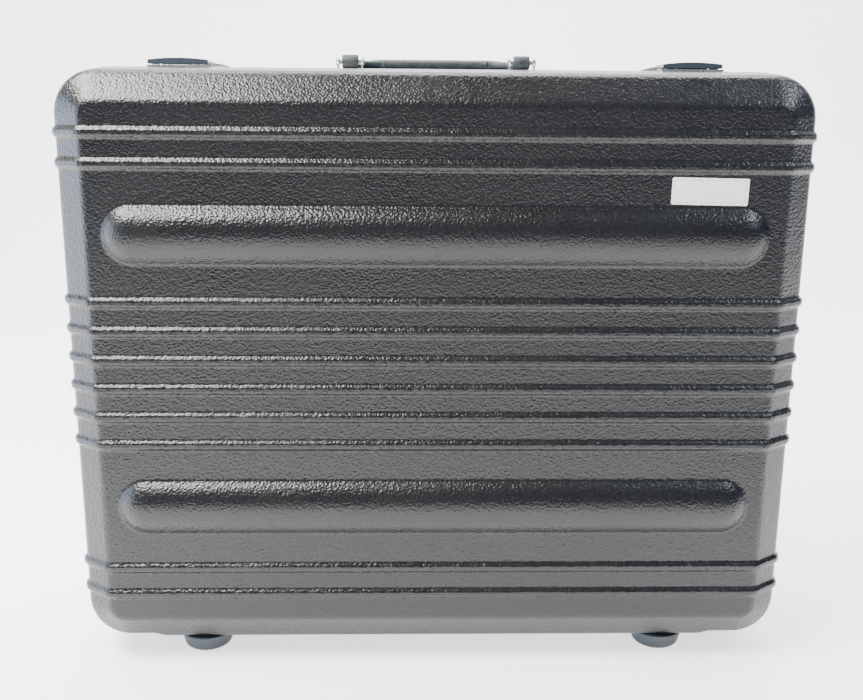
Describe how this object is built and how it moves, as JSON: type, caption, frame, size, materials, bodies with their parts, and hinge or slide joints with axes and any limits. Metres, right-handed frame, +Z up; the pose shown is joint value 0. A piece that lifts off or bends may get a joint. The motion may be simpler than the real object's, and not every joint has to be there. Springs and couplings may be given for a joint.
{
  "type": "carrying case",
  "caption": "Moulded hard-shell carrying case with ribbed faces, long cushion bars, aluminium rim, snap latches, folding handle, bottom hinges, rubber feet and foam lining",
  "frame": {"origin": "on the floor under the middle of the closed case, standing on its feet", "axes": "+Z up from feet to handle, +X to the right as seen from the lid, +Y from the lid to the base"},
  "size_m": [0.538, 0.197, 0.452],
  "materials": {
    "shell_black": "haircell-grained moulded ABS",
    "rim_aluminium": "satin anodised extrusion",
    "foam_charcoal": "open-cell polyurethane foam",
    "foot_rubber": "matt moulded rubber",
    "hardware_zinc": "bright zinc plated pressing",
    "hasp_enamel": "blue-grey satin enamel",
    "button_steel": "satin plated",
    "grip_grey": "leather-grained soft vinyl",
    "label_white": "matt self-adhesive"
  },
  "bodies": {
    "base": {"base_shell": "shell_black", "base_rim": "rim_aluminium", "base_foam": "foam_charcoal", "base_foot_screws": "hardware_zinc", "hinge_base_rivets": "hardware_zinc", "handle_rivets": "hardware_zinc", "latch_rivets": "hardware_zinc", "handle_backing_strip": "hardware_zinc", "base_foot_left": "foot_rubber", "handle_bracket_left": "hardware_zinc", "handle_pin_left": "hardware_zinc", "latch_left_plate": "hardware_zinc", "latch_left_pin": "hardware_zinc", "latch_left_spring": "hardware_zinc", "base_foot_right": "foot_rubber", "handle_bracket_right": "hardware_zinc", "handle_pin_right": "hardware_zinc", "latch_right_plate": "hardware_zinc", "latch_right_pin": "hardware_zinc", "latch_right_spring": "hardware_zinc", "hinge_left_base_leaf": "hardware_zinc", "hinge_left_pin": "hardware_zinc", "hinge_middle_base_leaf": "hardware_zinc", "hinge_middle_pin": "hardware_zinc", "hinge_right_base_leaf": "hardware_zinc", "hinge_right_pin": "hardware_zinc"},
    "lid": {"lid_shell": "shell_black", "lid_rim": "rim_aluminium", "lid_foam": "foam_charcoal", "lid_foot_left": "foot_rubber", "lid_foot_right": "foot_rubber", "lid_foot_screws": "hardware_zinc", "hinge_lid_rivets": "hardware_zinc", "strike_left": "hardware_zinc", "strike_right": "hardware_zinc", "strike_rivets": "hardware_zinc", "blank_label": "label_white", "hinge_left_lid_leaf": "hardware_zinc", "hinge_middle_lid_leaf": "hardware_zinc", "hinge_right_lid_leaf": "hardware_zinc"},
    "handle": {"handle_grip": "grip_grey", "handle_core": "hardware_zinc"},
    "left_hasp": {"latch_left_hasp": "hasp_enamel"},
    "right_hasp": {"latch_right_hasp": "hasp_enamel"},
    "left_button": {"latch_left_button": "button_steel"},
    "right_button": {"latch_right_button": "button_steel"}
  },
  "joints": [
    {"name": "lid_hinge", "type": "hinge", "parent": "base", "child": "lid", "pos_m": [0, -0.013, 0.0097], "axis": [1, 0, 0], "range_deg": [0, 100]},
    {"name": "handle_swing", "type": "hinge", "parent": "base", "child": "handle", "pos_m": [0, -0.002, 0.447], "axis": [1, 0, 0], "range_deg": [0, 95]},
    {"name": "left_hasp_swing", "type": "hinge", "parent": "base", "child": "left_hasp", "pos_m": [-0.187, 0.008, 0.4446], "axis": [-1, 0, 0], "range_deg": [0, 100]},
    {"name": "left_button_slide", "type": "slide", "parent": "base", "child": "left_button", "axis": [-1, 0, 0], "range_m": [0, 0.005], "stiffness_N_per_m": 300, "deforming": ["latch_left_spring"]},
    {"name": "right_hasp_swing", "type": "hinge", "parent": "base", "child": "right_hasp", "pos_m": [0.187, 0.008, 0.4446], "axis": [-1, 0, 0], "range_deg": [0, 100]},
    {"name": "right_button_slide", "type": "slide", "parent": "base", "child": "right_button", "axis": [1, 0, 0], "range_m": [0, 0.005], "stiffness_N_per_m": 300, "deforming": ["latch_right_spring"]}
  ]
}
